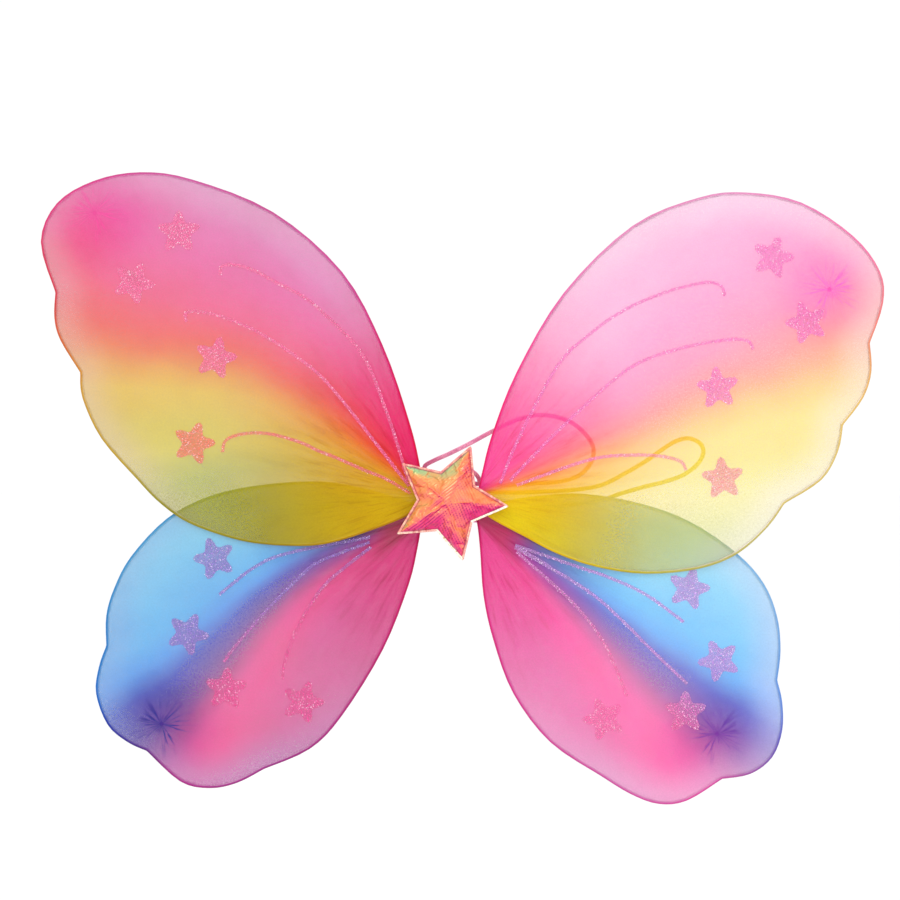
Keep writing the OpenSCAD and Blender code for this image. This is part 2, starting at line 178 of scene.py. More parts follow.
class Shader:
    """Thin wrapper that makes node graphs read like expressions."""

    def __init__(self, name):
        self.material = bpy.data.materials.new(name)
        self.material.use_nodes = True
        self.tree = self.material.node_tree
        self.bsdf = self.tree.nodes["Principled BSDF"]

    def feed(self, socket, value):
        """Links a socket or sets a constant."""
        if isinstance(value, bpy.types.NodeSocket):
            self.tree.links.new(value, socket)
        else:
            socket.default_value = value

    def node(self, kind, inputs=(), **settings):
        """A node with its settings, and with its inputs fed by name or number."""
        node = self.tree.nodes.new("ShaderNode" + kind)
        for key, value in settings.items():
            setattr(node, key, value)
        for key, value in dict(inputs).items():
            self.feed(node.inputs[key], value)
        return node

    def math(self, operation, a, b=0.0, c=0.0, clamp=False):
        """One math node."""
        return self.node("Math", enumerate((a, b, c)), operation=operation, use_clamp=clamp).outputs[0]

    def times(self, a, b, clamp=False):
        """a times b."""
        return self.math("MULTIPLY", a, b, clamp=clamp)

    def plus(self, a, b, clamp=False):
        """a plus b."""
        return self.math("ADD", a, b, clamp=clamp)

    def minus(self, a, b):
        """a minus b."""
        return self.math("SUBTRACT", a, b)

    def polar(self, x, z, centre):
        """Angle and distance of a point about a centre."""
        dx, dz = self.minus(x, centre[0]), self.minus(z, centre[1])
        square = self.plus(self.times(dx, dx), self.times(dz, dz))
        return self.math("ARCTAN2", dz, dx), self.math("SQRT", square)

    def fade(self, value, low, high, to_low=0.0, to_high=1.0):
        """Smooth step of value from low to high."""
        inputs = enumerate((value, low, high, to_low, to_high))
        return self.node("MapRange", inputs, interpolation_type="SMOOTHSTEP").outputs[0]

    def mix(self, factor, a, b, blend="MIX"):
        """Colour a blended towards b."""
        inputs = {0: factor, 6: a, 7: b}
        return self.node("Mix", inputs, data_type="RGBA", blend_type=blend).outputs[2]

    def power(self, colour, exponent):
        """Colour raised to a power, as a dye deepens."""
        return self.node("Gamma", enumerate((colour, exponent))).outputs[0]

    def ramp(self, value, stops):
        """Colour ramp through (position, (r, g, b)) stops."""
        node = self.node("ValToRGB", {0: value})
        elements = node.color_ramp.elements
        while len(elements) < len(stops):
            elements.new(0.5)
        for element, (position, colour) in zip(elements, stops):
            element.position = position
            element.color = (*colour, 1.0)
        return node.outputs[0]

    def combine(self, x, y, z=0.0):
        """A vector from its parts."""
        return self.node("CombineXYZ", enumerate((x, y, z))).outputs[0]

    def separate(self, vector):
        """A vector's three parts."""
        return self.node("SeparateXYZ", {0: vector}).outputs

    def stored(self, name, output="Fac"):
        """A number stored on the mesh."""
        return self.node("Attribute", attribute_name=name).outputs[output]

    def stored_parts(self, name):
        """The three parts of a vector stored on the mesh."""
        return self.separate(self.stored(name, "Vector"))

    def object_coords(self):
        """Coordinates in the object's own space."""
        return self.node("TexCoord").outputs["Object"]

    def noise(self, vector, scale, detail=2.0, roughness=0.5):
        """Cloudy noise from 0 to 1."""
        inputs = {"Vector": vector, "Scale": scale, "Detail": detail, "Roughness": roughness}
        return self.node("TexNoise", inputs).outputs[0]

    def wave(self, vector, scale, direction, distortion):
        """Wavy bands from 0 to 1."""
        inputs = {"Vector": vector, "Scale": scale, "Distortion": distortion}
        return self.node("TexWave", inputs, bands_direction=direction).outputs[1]

    def bump(self, height, distance, strength=1.0):
        """Fine relief on the surface."""
        node = self.node("Bump", {"Strength": strength, "Distance": distance, "Height": height})
        self.set(Normal=node.outputs[0])

    def set(self, **inputs):
        """Feeds the surface's inputs."""
        for key, value in inputs.items():
            self.feed(self.bsdf.inputs[key.replace("_", " ")], value)


# --- Shapes swept along a path ---


def around(count):
    """Angles of evenly spaced points round a circle."""
    return np.linspace(0, 2 * math.pi, count, endpoint=False)


def superellipse(angle, half_x, half_y, power):
    """Rounded-rectangle ring about its middle."""
    c, s = np.cos(angle), np.sin(angle)
    return np.stack([half_x * np.sign(c) * np.abs(c) ** power, half_y * np.sign(s) * np.abs(s) ** power], -1)


def flat_profile(width, thickness, corners, power):
    """Closed cross-section of a band or a thread, as [across, out]."""
    return superellipse(around(corners), width / 2, thickness / 2, power)


def sweep_mesh(name, path, out, profile, closed=False):
    """A profile swept along path; out gives each point's outward direction."""
    path, out = np.asarray(path, float), np.asarray(out, float)
    count, corners = len(path), len(profile)
    ahead = np.roll(path, -1, 0) - np.roll(path, 1, 0) if closed else np.gradient(path, axis=0)
    ahead /= np.linalg.norm(ahead, axis=1)[:, None]
    across = np.cross(ahead, out)
    across /= np.linalg.norm(across, axis=1)[:, None]
    out = np.cross(across, ahead)
    points = path[:, None] + profile[:, :1] * across[:, None] + profile[:, 1:] * out[:, None]
    faces = []
    for i in range(count if closed else count - 1):
        near, far = i * corners, (i + 1) % count * corners
        for k in range(corners):
            m = (k + 1) % corners
            faces.append((near + k, far + k, far + m, near + m))
    if not closed:
        faces.append(tuple(reversed(range(corners))))
        faces.append(tuple(range((count - 1) * corners, count * corners)))
    return mesh_from(name, points.reshape(-1, 3), faces)


def joined_mesh(name, meshes):
    """Several meshes as one."""
    bm = bmesh.new()
    for mesh in meshes:
        bm.from_mesh(mesh)
        bpy.data.meshes.remove(mesh)
    result = bpy.data.meshes.new(name)
    bmesh.ops.recalc_face_normals(bm, faces=bm.faces)
    bm.to_mesh(result)
    bm.free()
    return result


def stacked_mesh(name, rows):
    """A closed mesh through rings of points, capped at both ends."""
    n = len(rows[0])
    faces = [(r * n + i, r * n + (i + 1) % n, (r + 1) * n + (i + 1) % n, (r + 1) * n + i)
             for r in range(len(rows) - 1) for i in range(n)]
    faces.append(tuple(reversed(range(n))))
    faces.append(tuple((len(rows) - 1) * n + i for i in range(n)))
    return joined_mesh(name, [mesh_from(name, np.vstack(rows), faces)])


def stand_in(name, mesh, material, body, slot, *nodes):
    """Places a finished mesh on a body in place of CAD nodes."""
    obj = new_object(name, mesh, material)
    if nodes:
        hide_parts(*nodes)
    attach(obj, body)


def wound_ribbon(name, middle, half_x, half_y, low, high, pitch, thickness, corner):
    """Ribbon wound up a core in overlapping turns: x, y and z follow the row's axes."""
    turns = (high - low) / pitch
    t = np.linspace(0, 2 * math.pi * turns, int(64 * turns))
    ring = superellipse(t, half_x, half_y, corner)
    z = low + pitch * (t / (2 * math.pi)) + 0.12 * pitch * np.sin(t * 1.37)
    path = np.column_stack([middle[0] + ring[:, 0], middle[1] + ring[:, 1], z])
    out = np.column_stack([ring[:, 0] / half_x ** 2, ring[:, 1] / half_y ** 2, np.zeros(len(t))])
    out /= np.linalg.norm(out, axis=1)[:, None]
    out[:, 2] += 0.10
    return sweep_mesh(name, path, out, flat_profile(pitch * 1.45, thickness, 10, 0.5))

# --- Elastic shoulder loops ---

# The same routes as in the CAD source, in millimetres
LEFT_STRAP_ROUTE = [
    (-5, -3, 14), (-9, 0, 15), (-14, 4, 17), (-15, 5, 20.5), (-9, 5, 24), (0, 4.5, 28), (12, 4, 34),
    (25, 4, 41), (40, 4, 48), (55, 4, 51), (70, 4, 48), (80, 4, 41), (86, 4, 32), (85, 4, 23),
    (78, 4, 15), (66, 4, 11), (50, 4, 10), (35, 4, 9), (22, 4.2, 9), (12, 4.4, 10.5), (4, 4, 13.5),
    (-1, 1.5, 15.5), (-4, -2, 14.8),
]
RIGHT_STRAP_ROUTE = [
    (5.5, -3, 14), (9, 0, 16.5), (13.5, 0.6, 17), (17, 0.6, 13.5), (18.5, 0.6, 9), (24, 0.6, 5.5),
    (36, 0.6, 4.5), (54, 0.6, 5), (74, 0.6, 6), (91, 0.6, 9),
    (105, 0.6, 16), (117, 0.6, 23), (127, 0.6, 30), (135, 0.6, 35), (143, 0.6, 37), (150, 0.6, 34),
    (152, 0.6, 28), (148, 0.6, 21), (140, 0.6, 15), (129, 0.6, 11), (117, 0.6, 8), (103, 0.8, 4),
    (91, 0.8, 0), (71, 0.8, -3), (50, 0.8, -5), (30, 0.8, -5), (18, 0.8, -1), (9, 2.2, 5.5),
    (5.5, 1.8, 10), (5, -1.6, 12),
]
STRAP_WIDTH = 2.6 * MM
STRAP_THICKNESS = 1.5 * MM
STRAP_STEPS = 10
# The paler dye comes in between these distances from the centre
FAR_DYE_FROM_TO = (22 * MM, 32 * MM)


def elastic_material(name, far_dye):
    """Knitted elastic: fine ribs along the band, crossed by the knit's rows, with a paler dye far out."""
    s = Shader(name)
    band = s.stored_parts("band")
    rows = s.math("SINE", s.times(band[0], 2 * math.pi / (0.9 * MM)))
    ribs = s.math("SINE", s.times(band[1], 2 * math.pi * 9))
    knit = s.times(s.plus(s.times(ribs, 0.6), s.times(rows, 0.4)), 0.5)
    shade = s.noise(s.object_coords(), 160.0)
    tint = s.plus(s.times(knit, 0.35), shade, clamp=True)
    colour = s.ramp(tint, [(0.25, (0.62, 0.13, 0.30)), (0.55, (0.90, 0.33, 0.52)), (0.85, (1.0, 0.52, 0.66))])
    r, g, b = far_dye
    pale = s.mix(s.fade(tint, 0.25, 0.85), (r * 0.9, g * 0.9, b * 0.8, 1), (r, g, b, 1))
    colour = s.mix(s.stored("far"), colour, pale)
    s.set(Base_Color=colour, Roughness=0.62, Sheen_Weight=0.35)
    s.bump(knit, 0.12 * MM, 0.7)
    return s.material


def elastic_loop(name, route, material):
    """A flat elastic swept along its route, with rounded edges."""
    path = [p * MM for p in catmull(route, STRAP_STEPS)]
    profile = flat_profile(STRAP_WIDTH, STRAP_THICKNESS, 16, 0.7)
    title = name.replace("strap", "elastic")
    mesh = sweep_mesh(title, path, np.tile([0.0, 1.0, 0.0], (len(path), 1)), profile)
    travelled = [path_length(path[:i + 1]) for i in range(len(path))]
    across = profile / (STRAP_WIDTH / 2, STRAP_THICKNESS / 2)
    band = np.column_stack([np.repeat(travelled, len(profile)), np.tile(across, (len(path), 1))])
    store_vector(mesh, "band", band)
    far = np.array([v.co.x for v in mesh.vertices])
    store_number(mesh, "far", smoothstep(*FAR_DYE_FROM_TO, far))
    obj = new_object(title, mesh, material)
    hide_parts(name)
    return obj


ELASTICS = {
    "left_strap": elastic_material("left_elastic", (1.0, 0.60, 0.74)),
    "right_strap": elastic_material("right_elastic", (1.0, 0.86, 0.42)),
}
for loop_name, loop_route in (("left_strap", LEFT_STRAP_ROUTE), ("right_strap", RIGHT_STRAP_ROUTE)):
    loop = elastic_loop(loop_name, loop_route, ELASTICS[loop_name])
    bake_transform(loop)

# --- Nylon socks ---

LEFT_LIFT = math.radians(6.3)


class Wing:
    """One wing's place: its side, its root and its depth, and the way to and from the right side's plane."""

    def __init__(self, name):
        self.name = name
        self.side = -1 if "left" in name else 1
        self.upper = name.startswith("upper")
        self.pivot = Vector(JOINTS[name + "_swing"]["pos_m"])
        self.y = self.pivot.y
        self.root = np.array([abs(self.pivot.x), self.pivot.z])
        self.body = name + "_wing"
        self.slot = "upper_nylon" if self.upper else "lower_nylon"
        self.toe = self.to_plane(box_of(name + "_toe_knot")[2][None])[0]

    def lifted(self, x, z, angle):
        """The left wings' plane turned about their root; the right wings' stays as it is."""
        if self.side > 0:
            return x, z
        c, s = math.cos(angle), math.sin(angle)
        dx, dz = x - self.root[0], z - self.root[1]
        return self.root[0] + dx * c - dz * s, self.root[1] + dx * s + dz * c

    def to_plane(self, points):
        """Row frame to the right side's plane, as [x, z]."""
        return np.stack(self.lifted(points[:, 0] * self.side, points[:, 2], -LEFT_LIFT), 1)

    def to_row(self, plane, y):
        """The right side's plane to the row frame."""
        x, z = self.lifted(plane[:, 0], plane[:, 1], LEFT_LIFT)
        return np.stack([x * self.side, np.broadcast_to(y, x.shape), z], 1)


def polar(plane, centre):
    """Angle and distance of plane points about a centre."""
    dx, dz = (plane - centre).T
    return np.arctan2(dz, dx), np.hypot(dx, dz)


WINGS = [Wing(n) for n in ("upper_left", "upper_right", "lower_left", "lower_right")]


def outline_of(node):
    """The ordered outline of a flat CAD sheet, as row-frame points on its front face."""
    mesh = NODES[node].data
    front = min(v.co.y for v in mesh.vertices)
    sides, places = set(), {}
    for face in mesh.polygons:
        corners = [mesh.vertices[i].co for i in face.vertices]
        if all(abs(co.y - front) < 1e-6 for co in corners):
            keys = [(round(co.x, 6), round(co.z, 6)) for co in corners]
            for key, co in zip(keys, corners):
                places.setdefault(key, tuple(co))
            sides.update(zip(keys, keys[1:] + keys[:1]))
    step = {a: b for a, b in sides if (b, a) not in sides}
    start = min(step)
    loop, at = [start], step[start]
    while at != start:
        loop.append(at)
        at = step[at]
    return np.array([places[k] for k in loop])


def spread_evenly(loop, spacing):
    """Points along a closed outline at an even spacing, [x, z]."""
    closed = np.vstack([loop, loop[:1]])
    seg = np.hypot(*(closed[1:] - closed[:-1]).T)
    along = np.concatenate([[0], np.cumsum(seg)])
    count = int(round(along[-1] / spacing))
    at = np.linspace(0, along[-1], count, endpoint=False)
    return np.stack([np.interp(at, along, closed[:, k]) for k in (0, 1)], 1)


def inset_loop(loop, distance):
    """The closed outline moved inwards."""
    ahead = loop_ahead(loop)
    normal = np.stack([-ahead[:, 1], ahead[:, 0]], 1) * (1 if signed_area(loop) > 0 else -1)
    return loop + normal * distance


def inside(loop, points):
    """Which points lie inside a closed outline."""
    x, y = points[:, 0], points[:, 1]
    result = np.zeros(len(points), bool)
    for (x0, y0), (x1, y1) in zip(loop, np.roll(loop, -1, 0)):
        crosses = (y0 > y) != (y1 > y)
        if abs(y1 - y0) > 1e-12:
            result ^= crosses & (x < (x1 - x0) * (y - y0) / (y1 - y0) + x0)
    return result


def distance_to(loop, points):
    """Distance from each point to the nearest outline point."""
    return np.array([np.min(np.hypot(loop[:, 0] - p[0], loop[:, 1] - p[1])) for p in points])


# Half the sock's depth over the wire, and the steps that roll it round the wire
COVER_HALF = 1.05 * MM
ROLL_STEPS = 6
# Spacing of the cloth's points along the rim and in the open, and the reach of the denser ones: the fan
# about the root and the rings about the toe
EDGE_SPACING = 1.6 * MM
OPEN_SPACING = 3.2 * MM
FAN_REACH = 70 * MM
RINGS_REACH = 26 * MM
PLEAT_DEPTH = 0.8
PLEAT_LIMIT = 0.9 * MM
KNIT_PITCH = 0.35 * MM


def pleat_height(wing, plane, layer):
    """How far the cloth is drawn in at plane points: pleats from the root and puckers at the toe."""
    rng = np.random.default_rng(7 + 13 * layer + (3 if wing.upper else 0) + (5 if wing.side > 0 else 0))
    angle, radius = polar(plane, wing.root)
    height = np.zeros(len(plane))
    for folds, strength in ((19, 0.5), (33, 0.8), (57, 0.6), (91, 0.35)):
        phase, drift = rng.uniform(0, 2 * math.pi, 2)
        reach = rng.uniform(25, 42) * MM
        warp = 0.5 * np.sin(angle * 3 + drift)
        wave = np.sin(folds * (angle + 0.06 * warp) + phase)
        height += PLEAT_DEPTH * strength * (0.5 + wave) * np.exp(-radius / reach) * radius / folds
    toe_angle, toe_radius = polar(plane, wing.toe)
    for folds, strength in ((11, 1.0), (17, 0.7)):
        phase = rng.uniform(0, 2 * math.pi)
        wave = np.sin(folds * toe_angle + phase)
        height += 0.25 * strength * (0.5 + wave) * np.exp(-toe_radius / (11 * MM)) * toe_radius / folds
    return np.clip(height, 0, PLEAT_LIMIT)


def circle(centre, radius, count):
    """Points on a circle in the plane."""
    angles = np.linspace(-math.pi, math.pi, count, endpoint=False)
    return centre + radius * np.stack([np.cos(angles), np.sin(angles)], 1)


def cloth_points(wing, inner):
    """Points inside the outline: a close fan near the root, rings at the toe and an open grid beyond."""
    points = []
    radius = 4 * MM
    while radius < FAN_REACH:
        step = 1.1 * MM + radius * 0.012
        count = int(max(24, 2 * math.pi * radius / (0.55 * MM + radius * 0.009)))
        points.append(circle(wing.root, radius, count))
        radius += step
    ring = 1.2 * MM
    while ring < RINGS_REACH:
        points.append(circle(wing.toe, ring, 72))
        ring += 1.1 * MM + ring * 0.05
    grid = staggered_grid(inner.min(0), inner.max(0), OPEN_SPACING)
    far = (np.hypot(*(grid - wing.root).T) > radius) & (np.hypot(*(grid - wing.toe).T) > ring)
    points.append(grid[far])
    points = np.vstack(points)
    return points[inside(inset_loop(inner, 1.0 * MM), points)]


def nylon_sock(wing, material):
    """The sock over one hoop: front and back layers and the roll of cloth round the wire."""
    outline = spread_evenly(wing.to_plane(outline_of(wing.name + "_nylon_front")), EDGE_SPACING)
    inner = inset_loop(outline, COVER_HALF)
    n = len(inner)
    plane, tris = triangulated(inner, cloth_points(wing, inner))
    total = len(plane)
    edge = distance_to(inner, plane)
    edge_fade = smoothstep(0, 4 * MM, edge)
    points, coords, edges_in = [], [], [edge, edge]
    for layer, facing in ((0, -1), (1, 1)):
        y = wing.y + facing * (COVER_HALF - pleat_height(wing, plane, layer) * edge_fade)
        points.append(wing.to_row(plane, y))
        coords.append(np.column_stack([plane, np.full(total, float(layer))]))
    faces = []
    flip = wing.side < 0
    for a, b, c in tris:
        faces.append((c, b, a) if flip else (a, b, c))
        faces.append((a + total, b + total, c + total) if flip else (c + total, b + total, a + total))
    base = 2 * total
    for k in range(1, ROLL_STEPS):
        a = math.pi * k / ROLL_STEPS
        ring = inner + (outline - inner) * math.sin(a)
        points.append(wing.to_row(ring, wing.y - COVER_HALF * math.cos(a)))
        coords.append(np.column_stack([ring, np.full(n, 0.5)]))
        edges_in.append(np.full(n, -COVER_HALF * math.sin(a)))
    rows = [list(range(n))] + [[base + k * n + i for i in range(n)] for k in range(ROLL_STEPS - 1)]
    rows.append([total + i for i in range(n)])
    area = signed_area(inner)
    turn = (area > 0) != flip
    for near, far in zip(rows, rows[1:]):
        for i in range(n):
            j = (i + 1) % n
            quad = (near[j], near[i], far[i], far[j])
            faces.append(quad if turn else tuple(reversed(quad)))
    name = wing.name + "_nylon_"
    mesh = mesh_from(name + "sock", np.vstack(points), faces)
    store_vector(mesh, "cloth", np.vstack(coords))
    store_number(mesh, "edge", np.concatenate(edges_in))
    obj = new_object(name + "sock", mesh, material)
    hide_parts(name + "front", name + "back")
    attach(obj, wing.body)


# Where the gathers fade out, from the root, and where the cloth turns round the wire, from the rim
GATHERED = (15 * MM, 130 * MM)
ROLLED_RIM = (-0.3 * MM, 0.7 * MM)


def nylon_material(wing, near_stops, far_stops, pale, toe_colour, toe_depth, cover, root_cover, tint, dye_and_shade,
                   swirl=(0.03, 0.15, 0.0, 0.0), thinner=0.12):
    """Sheer dyed nylon: the colour runs with the angle about the root, deeper near it and paler at the rim.

    cover is one layer's opacity far out and root_cover at the root. The power above 1 deepens and darkens the
    colour and tint multiplies it; on the left wings both stand for a heavier dye together with painted shade on
    that less lit side.
    swirl turns the colours, in radians, from one radius to another. thinner is for the lower part."""
    s = Shader(wing.name + "_nylon")
    cloth = s.stored_parts("cloth")
    edge = s.stored("edge")
    angle, radius = s.polar(cloth[0], cloth[1], wing.root)
    spot = s.combine(cloth[0], cloth[1], 0.0)
    bleed = s.times(s.minus(s.noise(spot, 11.0, 3.0), 0.5), 0.12)
    turn = s.plus(s.times(s.plus(angle, bleed), 1 / math.pi), 0.5)
    turn = s.math("MULTIPLY_ADD", s.fade(radius, *swirl), 1 / math.pi, turn)
    spread = s.fade(radius, 0.03, 0.15 if wing.upper else 0.11)
    colour = s.mix(spread, s.ramp(turn, near_stops), s.ramp(turn, far_stops))
    if not wing.upper:
        crimson = s.times(s.fade(radius, 0.022, 0.050, 1.0, 0.0), s.fade(angle, -0.95, -0.75))
        colour = s.mix(crimson, colour, (0.56, 0.01, 0.12, 1))
    out = s.times(s.fade(edge, 0.0, 0.026, 1.0, 0.0), s.fade(radius, 0.08, 0.20))
    colour = s.mix(s.times(out, 0.30), colour, pale)
    # Painted shade on the left wings: a higher power and a darker grey tint darken the whole sock, with some
    # heavier dye.
    colour = s.power(colour, dye_and_shade)
    colour = s.mix(1.0, colour, tint, "MULTIPLY")
    cells = s.noise(spot, 26.0, 4.0, 0.6)
    colour = s.mix(s.fade(cells, 0.35, 0.75, 0.0, 0.16), colour, s.mix(1.0, colour, colour, "MULTIPLY"))
    fan = s.combine(angle, s.times(radius, 1.6), cloth[2])
    # Painted shade in the pleats that fan out from the root: the streaks' dark lines darken the colour, most near
    # the root. The denser cloth in the same lines is real.
    streaks = s.noise(fan, 22.0, 3.0, 0.6)
    fine_streaks = s.noise(fan, 75.0, 2.0, 0.6)
    lines = s.minus(s.plus(s.times(streaks, 0.7), s.times(fine_streaks, 0.3)), 0.5)
    dark = s.times(lines, s.fade(radius, *GATHERED, 1.0, 0.10))
    fold_shade = s.mix(1.0, colour, s.mix(0.5, colour, (0.55, 0.55, 0.55, 1)), "MULTIPLY")
    colour = s.mix(s.times(dark, -5.0, clamp=True), colour, fold_shade)
    # At the toe: the gathered cloth's deeper colour, which is real, with painted shade in its radial creases.
    toe_angle, toe_radius = s.polar(cloth[0], cloth[1], wing.toe)
    round_toe = s.combine(s.math("COSINE", toe_angle), s.math("SINE", toe_angle), s.times(toe_radius, 8.0))
    rays = s.noise(round_toe, 9.0, 1.0)
    core = s.fade(toe_radius, 0.0, 0.008, 1.0, 0.0)
    burst = s.times(s.fade(toe_radius, 0.001, 0.024, 1.0, 0.0), s.fade(rays, 0.54, 0.66))
    burst = s.plus(s.times(burst, 0.8), s.times(core, 0.35))
    burst = s.plus(burst, s.fade(toe_radius, 0.0, 0.040, 0.42, 0.0), clamp=True)
    colour = s.mix(s.times(burst, toe_depth), colour, toe_colour)
    stitch = 2 * math.pi / KNIT_PITCH
    knit = s.times(s.math("SINE", s.times(cloth[0], stitch)), s.math("SINE", s.times(cloth[1], stitch)))
    fine = s.noise(spot, 900.0, 2.0)
    opaque = s.plus(s.fade(radius, *GATHERED, root_cover, cover), s.times(dark, -0.6))
    if wing.upper:
        thin = s.times(s.fade(angle, -0.02, 0.16, 1.0, 0.0), s.fade(radius, 0.03, 0.08))
        opaque = s.minus(opaque, s.times(thin, thinner))
    for layer in (s.times(knit, 0.04), s.times(s.minus(fine, 0.5), 0.20), s.times(out, -0.08),
                  s.fade(edge, *ROLLED_RIM, 0.55, 0.0), s.fade(toe_radius, 0.015, 0.052, 0.07, 0.0)):
        opaque = s.plus(opaque, layer)
    opaque = s.plus(opaque, s.times(burst, 0.22), clamp=True)
    rolled = s.fade(edge, *ROLLED_RIM, 0.85, 0.0)
    edge_dye = (0.90, 0.84, 0.84, 1) if wing.upper else (0.80, 0.72, 0.76, 1)
    colour = s.mix(rolled, colour, s.mix(1.0, s.power(colour, 1.4), edge_dye, "MULTIPLY"))
    s.set(Base_Color=colour, Alpha=opaque, Roughness=0.6, Specular_IOR_Level=0.12, Sheen_Weight=0.05)
    s.bump(s.plus(s.times(knit, 0.4), s.times(lines, 2.5)), 0.10 * MM, 0.5)
    return s.material


def stops(*rows):
    """Ramp stops from degrees about the root and colours."""
    return [((degrees + 90) / 180, colour) for degrees, colour in rows]


UPPER_NEAR = stops((-25, (0.86, 0.64, 0.005)), (2, (0.90, 0.57, 0.005)), (11, (0.96, 0.42, 0.01)),
                   (16, (0.97, 0.26, 0.05)), (24, (0.97, 0.11, 0.18)), (37, (0.97, 0.06, 0.32)),
                   (60, (0.96, 0.05, 0.32)), (85, (0.85, 0.03, 0.22)))
UPPER_FAR = stops((-30, (0.60, 0.60, 0.04)), (-8, (0.66, 0.66, 0.06)), (0, (0.86, 0.75, 0.06)),
                  (6, (0.88, 0.74, 0.09)), (13, (0.93, 0.70, 0.06)), (17, (0.95, 0.56, 0.03)),
                  (21, (0.97, 0.34, 0.08)), (25, (0.98, 0.19, 0.20)), (31, (0.98, 0.16, 0.42)),
                  (40, (0.96, 0.21, 0.56)), (50, (0.91, 0.34, 0.65)), (66, (0.90, 0.24, 0.56)))
LOWER_NEAR = stops((-88, (0.84, 0.045, 0.28)), (-46, (0.84, 0.045, 0.28)), (-38, (0.45, 0.03, 0.34)),
                   (-30, (0.14, 0.04, 0.34)), (-18, (0.12, 0.08, 0.42)), (5, (0.10, 0.14, 0.50)))
LOWER_FAR = stops((-85, (0.80, 0.09, 0.38)), (-62, (0.82, 0.07, 0.38)), (-52, (0.95, 0.03, 0.36)),
                  (-48, (0.93, 0.05, 0.38)), (-44.5, (0.66, 0.06, 0.36)), (-42, (0.40, 0.06, 0.40)),
                  (-39, (0.20, 0.07, 0.48)), (-36, (0.08, 0.10, 0.60)), (-32, (0.08, 0.40, 0.88)),
                  (-28, (0.10, 0.52, 0.90)), (-14, (0.24, 0.68, 0.90)), (5, (0.28, 0.70, 0.90)))
DYES_AND_PAINTED_SHADE = {
    "upper_right": dict(pale=(0.90, 0.72, 0.84, 1), toe_colour=(0.90, 0.10, 0.56, 1), toe_depth=0.85,
                        cover=0.45, root_cover=0.80, tint=(0.96, 0.97, 0.96, 1), dye_and_shade=1.0),
    # The left wings' darker tint and higher power are painted shade of the less lit side, with some heavier dye.
    "upper_left": dict(pale=(0.86, 0.62, 0.76, 1), toe_colour=(0.85, 0.10, 0.36, 1), toe_depth=0.38,
                       cover=0.61, root_cover=0.88, tint=(0.80, 0.84, 0.86, 1), dye_and_shade=1.75,
                       swirl=(0.04, 0.24, -0.29, 0.05), thinner=0.05),
    "lower_right": dict(pale=(0.66, 0.50, 0.82, 1), toe_colour=(0.10, 0.02, 0.30, 1), toe_depth=0.75,
                        cover=0.58, root_cover=0.82, tint=(0.94, 0.97, 0.98, 1), dye_and_shade=1.0),
    "lower_left": dict(pale=(0.10, 0.30, 0.72, 1), toe_colour=(0.03, 0.02, 0.24, 1), toe_depth=1.0,
                       cover=0.61, root_cover=0.80, tint=(0.80, 0.84, 0.86, 1), dye_and_shade=1.2,
                       swirl=(0.06, 0.20, -0.15, 0.055)),
}
for wing in WINGS:
    dyes = (UPPER_NEAR, UPPER_FAR) if wing.upper else (LOWER_NEAR, LOWER_FAR)
    nylon_sock(wing, nylon_material(wing, *dyes, **DYES_AND_PAINTED_SHADE[wing.name]))

# --- Glitter ---

FLAKES_PER_MM2 = 1.5
FLAKE_RADIUS = (0.14 * MM, 0.28 * MM)
FLAKE_SIDES = 6
# Glitter tones below and above a dye line, given by two angles about the root in degrees
GLITTER_TONES = {
    "upper_right": ((0.95, 0.30, 0.36), (0.95, 0.20, 0.60), 8, 22),
    "upper_left": ((0.98, 0.18, 0.14), (0.98, 0.17, 0.42), 8, 30),
    "lower_right": ((0.98, 0.14, 0.46), (0.62, 0.30, 0.76), -48, -34),
    "lower_left": ((0.90, 0.07, 0.36), (0.34, 0.18, 0.62), -46, -34),
}


def glitter_tone(s, wing):
    """The glitter's tone, lit through the dye behind it."""
    below, above, low, high = GLITTER_TONES[wing.name]
    spot = s.separate(s.object_coords())
    angle = s.polar(s.times(spot[0], wing.side), spot[2], wing.root)[0]
    lift = 0.0 if wing.side > 0 else LEFT_LIFT
    across = s.fade(angle, math.radians(low) + lift, math.radians(high) + lift)
    return s.mix(across, (*below, 1), (*above, 1))


